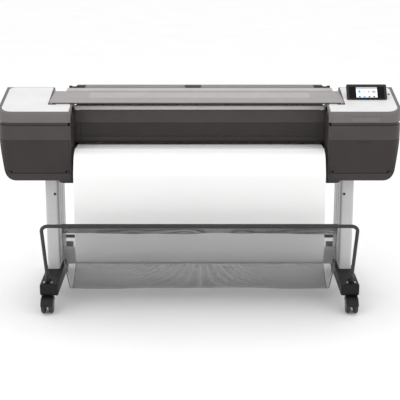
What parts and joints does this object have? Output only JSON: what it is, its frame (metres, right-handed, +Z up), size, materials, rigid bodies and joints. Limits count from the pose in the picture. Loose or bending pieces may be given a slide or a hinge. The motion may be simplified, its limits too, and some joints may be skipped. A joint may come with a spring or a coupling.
{
  "type": "large format plotter",
  "caption": "Floor-standing wide inkjet plotter on a castered stand, with end modules, front window, tilting display, roll feed, hanging printed sheet and mesh catch basket.",
  "frame": {"origin": "on the floor under the middle of the machine", "axes": "+X to the right seen from the front, +Y to the back, +Z up"},
  "size_m": [1.802, 0.6965, 0.998],
  "materials": {
    "dark_casing": "fine grain, dark warm grey",
    "taupe_casing": "fine grain, warm grey",
    "white_casing": "fine grain, white",
    "black_plastic": "fine grain, black",
    "smoked_window": "polished, smoked",
    "roll_grey": "fine grain, mid grey",
    "stand_metal": "satin light grey powder coat",
    "foot_black": "satin black powder coat",
    "sheet_steel": "zinc plated sheet",
    "rod_steel": "ground rod",
    "pin_steel": "turned",
    "tube_grey": "satin mid grey powder coat",
    "mesh_fabric": "black knitted mesh",
    "web_paper": "matte coated paper",
    "roller_rubber": "ground rubber",
    "wheel_rubber": "moulded",
    "belt_rubber": "toothed belt",
    "glass_black": "gloss black cover glass",
    "cartridge": "moulded ink supply"
  },
  "bodies": {
    "printer": {"basket_fabric": "mesh_fabric", "carriage_belt": "belt_rubber", "carriage_motor": "sheet_steel", "carriage_rail": "sheet_steel", "chassis": "sheet_steel", "cross_beam": "stand_metal", "display_bracket": "black_plastic", "electronics_box": "sheet_steel", "front_lower_cover": "dark_casing", "ink_cartridges": "cartridge", "inner_cheeks": "dark_casing", "left_foot": "foot_black", "left_housing": "dark_casing", "left_leg": "stand_metal", "left_top_shell": "taupe_casing", "lower_skirts": "dark_casing", "output_guide": "dark_casing", "paper_sheet": "web_paper", "platen": "black_plastic", "power_inlet": "black_plastic", "rear_panel": "sheet_steel", "rear_rod": "stand_metal", "right_foot": "foot_black", "right_housing": "dark_casing", "right_leg": "stand_metal", "right_top_shell": "taupe_casing", "screws": "pin_steel", "service_station": "black_plastic", "spindle_supports": "black_plastic", "top_frame": "taupe_casing", "top_panels": "white_casing"},
    "front_window": {"window_frame": "dark_casing", "window_pane": "smoked_window"},
    "top_cover": {"top_cover": "taupe_casing"},
    "roll_cover": {"roll_cover": "roll_grey", "roll_cover_caps": "black_plastic"},
    "left_ink_door": {"left_ink_door": "dark_casing"},
    "right_ink_door": {"right_ink_door": "dark_casing"},
    "spindle": {"spindle": "rod_steel", "spindle_hubs": "black_plastic", "media_roll": "web_paper"},
    "drive_roller": {"drive_roller": "roller_rubber"},
    "pinch_rollers": {"pinch_rollers": "roller_rubber"},
    "carriage": {"carriage": "black_plastic", "printheads": "black_plastic"},
    "drive_pulley": {"drive_pulley": "pin_steel"},
    "idler_pulley": {"idler_pulley": "pin_steel"},
    "display": {"display_housing": "black_plastic", "display_glass": "glass_black"},
    "power_button": {"power_button": "black_plastic"},
    "power_switch": {"power_switch": "black_plastic"},
    "basket_frame": {"basket_frame": "tube_grey"},
    "front_left_caster": {"front_left_caster_hood": "black_plastic"},
    "front_left_wheels": {"front_left_caster_wheels": "wheel_rubber"},
    "front_right_caster": {"front_right_caster_hood": "black_plastic"},
    "front_right_wheels": {"front_right_caster_wheels": "wheel_rubber"},
    "rear_left_caster": {"rear_left_caster_hood": "black_plastic"},
    "rear_left_wheels": {"rear_left_caster_wheels": "wheel_rubber"},
    "rear_right_caster": {"rear_right_caster_hood": "black_plastic"},
    "rear_right_wheels": {"rear_right_caster_wheels": "wheel_rubber"}
  },
  "joints": [
    {"name": "window_hinge", "type": "hinge", "parent": "printer", "child": "front_window", "pos_m": [0, 0.04, 0.875], "axis": [-1, 0, 0], "range_deg": [0, 85]},
    {"name": "top_cover_hinge", "type": "hinge", "parent": "printer", "child": "top_cover", "pos_m": [0, 0.1465, 0.9453], "axis": [-1, 0, 0], "range_deg": [0, 70]},
    {"name": "roll_cover_hinge", "type": "hinge", "parent": "printer", "child": "roll_cover", "pos_m": [0, 0.206, 0.957], "axis": [1, 0, 0], "range_deg": [0, 90]},
    {"name": "left_door_hinge", "type": "hinge", "parent": "printer", "child": "left_ink_door", "pos_m": [-0.725, -0.125, 0.6335], "axis": [1, 0, 0], "range_deg": [0, 85]},
    {"name": "right_door_hinge", "type": "hinge", "parent": "printer", "child": "right_ink_door", "pos_m": [0.725, -0.125, 0.6335], "axis": [1, 0, 0], "range_deg": [0, 85]},
    {"name": "spindle_spin", "type": "hinge", "parent": "printer", "child": "spindle", "pos_m": [0, 0.258, 0.893], "axis": [1, 0, 0], "continuous": true},
    {"name": "drive_roller_spin", "type": "hinge", "parent": "printer", "child": "drive_roller", "pos_m": [0, 0.145, 0.70145], "axis": [1, 0, 0], "continuous": true},
    {"name": "pinch_roller_spin", "type": "hinge", "parent": "printer", "child": "pinch_rollers", "pos_m": [0, 0.145, 0.72955], "axis": [1, 0, 0], "continuous": true},
    {"name": "carriage_slide", "type": "slide", "parent": "printer", "child": "carriage", "axis": [1, 0, 0], "range_m": [-1.475, 0]},
    {"name": "drive_pulley_spin", "type": "hinge", "parent": "printer", "child": "drive_pulley", "pos_m": [-0.83, 0.169, 0.799], "axis": [0, 1, 0], "continuous": true},
    {"name": "idler_pulley_spin", "type": "hinge", "parent": "printer", "child": "idler_pulley", "pos_m": [0.83, 0.169, 0.799], "axis": [0, 1, 0], "continuous": true},
    {"name": "display_tilt", "type": "hinge", "parent": "printer", "child": "display", "pos_m": [0.771, 0.046, 0.952], "axis": [-1, 0, 0], "range_deg": [0, 35]},
    {"name": "power_button_press", "type": "slide", "parent": "printer", "child": "power_button", "axis": [0, 0, -1], "range_m": [0, 0.002], "stiffness_N_per_m": 200, "springref_m": -0.001},
    {"name": "power_switch_rock", "type": "hinge", "parent": "printer", "child": "power_switch", "pos_m": [0.34, 0.238, 0.675], "axis": [1, 0, 0], "range_deg": [0, 10]},
    {"name": "basket_fold", "type": "hinge", "parent": "printer", "child": "basket_frame", "pos_m": [0, -0.195, 0.129], "axis": [-1, 0, 0], "range_deg": [0, 22], "deforming": ["basket_fabric"]},
    {"name": "front_left_swivel", "type": "hinge", "parent": "printer", "child": "front_left_caster", "pos_m": [-0.687, -0.193, 0.084], "axis": [0, 0, 1], "continuous": true},
    {"name": "front_left_roll", "type": "hinge", "parent": "front_left_caster", "child": "front_left_wheels", "pos_m": [-0.687, -0.214, 0.0375], "axis": [1, 0, 0], "continuous": true},
    {"name": "front_right_swivel", "type": "hinge", "parent": "printer", "child": "front_right_caster", "pos_m": [0.687, -0.193, 0.084], "axis": [0, 0, 1], "continuous": true},
    {"name": "front_right_roll", "type": "hinge", "parent": "front_right_caster", "child": "front_right_wheels", "pos_m": [0.687, -0.214, 0.0375], "axis": [1, 0, 0], "continuous": true},
    {"name": "rear_left_swivel", "type": "hinge", "parent": "printer", "child": "rear_left_caster", "pos_m": [-0.687, 0.3, 0.084], "axis": [0, 0, 1], "continuous": true},
    {"name": "rear_left_roll", "type": "hinge", "parent": "rear_left_caster", "child": "rear_left_wheels", "pos_m": [-0.687, 0.279, 0.0375], "axis": [1, 0, 0], "continuous": true},
    {"name": "rear_right_swivel", "type": "hinge", "parent": "printer", "child": "rear_right_caster", "pos_m": [0.687, 0.3, 0.084], "axis": [0, 0, 1], "continuous": true},
    {"name": "rear_right_roll", "type": "hinge", "parent": "rear_right_caster", "child": "rear_right_wheels", "pos_m": [0.687, 0.279, 0.0375], "axis": [1, 0, 0], "continuous": true}
  ],
  "couplings": [
    {"joint": "pinch_roller_spin", "follows": "drive_roller_spin", "ratio": -2.8571},
    {"joint": "drive_pulley_spin", "follows": "carriage_slide", "rad_per_m": 90.498},
    {"joint": "idler_pulley_spin", "follows": "carriage_slide", "rad_per_m": 90.498}
  ]
}
